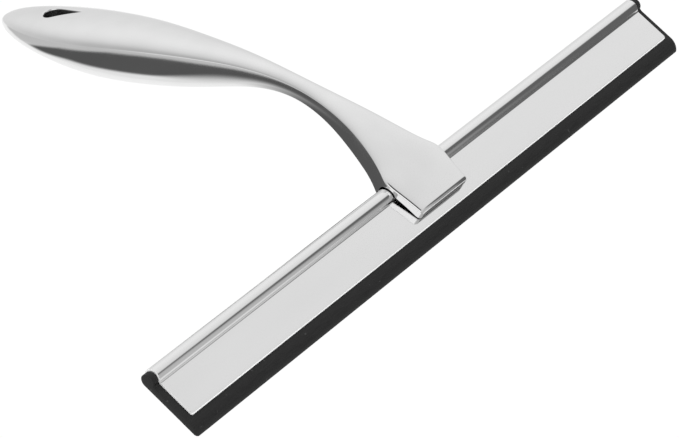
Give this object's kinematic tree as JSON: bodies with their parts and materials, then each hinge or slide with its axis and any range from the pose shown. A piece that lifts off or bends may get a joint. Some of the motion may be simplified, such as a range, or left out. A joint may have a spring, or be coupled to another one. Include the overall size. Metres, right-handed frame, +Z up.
{
  "type": "window squeegee",
  "caption": "Hand squeegee with a teardrop metal handle, a clamped folded-steel channel and a replaceable rubber blade.",
  "frame": {"origin": "middle of the footprint, on the table that the squeegee lies on", "axes": "+Z up from the table, +X along the blade, -Y towards the wiping lip and +Y towards the tip of the handle"},
  "size_m": [0.254, 0.1886, 0.0307],
  "materials": {
    "cast_metal": "satin-polished bright metal",
    "sheet_steel": "bright polished stainless sheet",
    "screw_steel": "plain turned steel",
    "rubber": "matt black extruded rubber"
  },
  "bodies": {
    "handle": {"handle_casting": "cast_metal"},
    "clamp": {"clamp_jaw": "cast_metal", "lock_washer_left": "screw_steel", "lock_washer_right": "screw_steel"},
    "screw_left": {"clamp_screw_left": "screw_steel"},
    "screw_right": {"clamp_screw_right": "screw_steel"},
    "blade": {"blade_channel": "sheet_steel"},
    "rubber": {"rubber_blade": "rubber"}
  },
  "joints": [
    {"name": "jaw_open", "type": "slide", "parent": "handle", "child": "clamp", "axis": [0, 0.4487, -0.8937], "range_m": [0, 0.0015]},
    {"name": "screw_left_turn", "type": "hinge", "parent": "clamp", "child": "screw_left", "pos_m": [-0.0035, -0.06908, 0.01048], "axis": [0, 0.4487, -0.8937], "range_deg": [0, 1080]},
    {"name": "screw_right_turn", "type": "hinge", "parent": "clamp", "child": "screw_right", "pos_m": [0.0035, -0.06908, 0.01048], "axis": [0, 0.4487, -0.8937], "range_deg": [0, 1080]},
    {"name": "channel_slide", "type": "slide", "parent": "handle", "child": "blade", "axis": [1, 0, 0], "range_m": [-0.138, 0.138]},
    {"name": "rubber_slide", "type": "slide", "parent": "blade", "child": "rubber", "axis": [1, 0, 0], "range_m": [-0.252, 0.252]}
  ],
  "couplings": [
    {"joint": "screw_left_turn", "follows": "jaw_open", "rad_per_m": 12566},
    {"joint": "screw_right_turn", "follows": "jaw_open", "rad_per_m": 12566}
  ]
}
